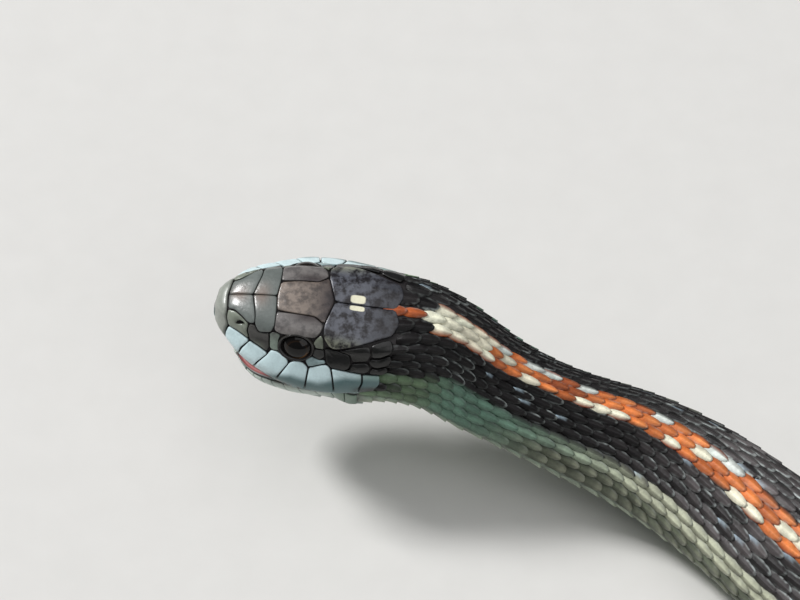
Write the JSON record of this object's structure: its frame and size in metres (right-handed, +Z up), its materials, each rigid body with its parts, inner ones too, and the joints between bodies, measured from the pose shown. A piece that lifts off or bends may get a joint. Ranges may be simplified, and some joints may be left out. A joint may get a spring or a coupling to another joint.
{
  "type": "garter snake",
  "caption": "Life-size still garter snake lying in curves, with its head raised and its mouth open.",
  "frame": {"origin": "centre of the box around the whole animal, at the floor that its belly rests on", "axes": "+X from the head towards the tail, along the longest side; +Y to the animal's right at the head; +Z up, the shortest side"},
  "size_m": [0.2857, 0.1102, 0.0211],
  "materials": {
    "dark_back": "scales, semi-gloss",
    "head_shields": "smooth shields, glossy",
    "jaw": "smooth scales, glossy",
    "eye": "wet gloss"
  },
  "bodies": {
    "root": {"head": "head_shields", "lower_jaw": "jaw", "left_eye": "eye", "right_eye": "eye", "neck": "dark_back", "body_1": "dark_back", "body_2": "dark_back", "body_3": "dark_back", "body_4": "dark_back", "body_5": "dark_back", "body_6": "dark_back", "body_7": "dark_back", "body_8": "dark_back", "body_9": "dark_back", "body_10": "dark_back", "body_11": "dark_back", "body_12": "dark_back", "body_13": "dark_back", "body_14": "dark_back", "tail_1": "dark_back", "tail_2": "dark_back", "tail_3": "dark_back", "tail_4": "dark_back"}
  },
  "joints": []
}
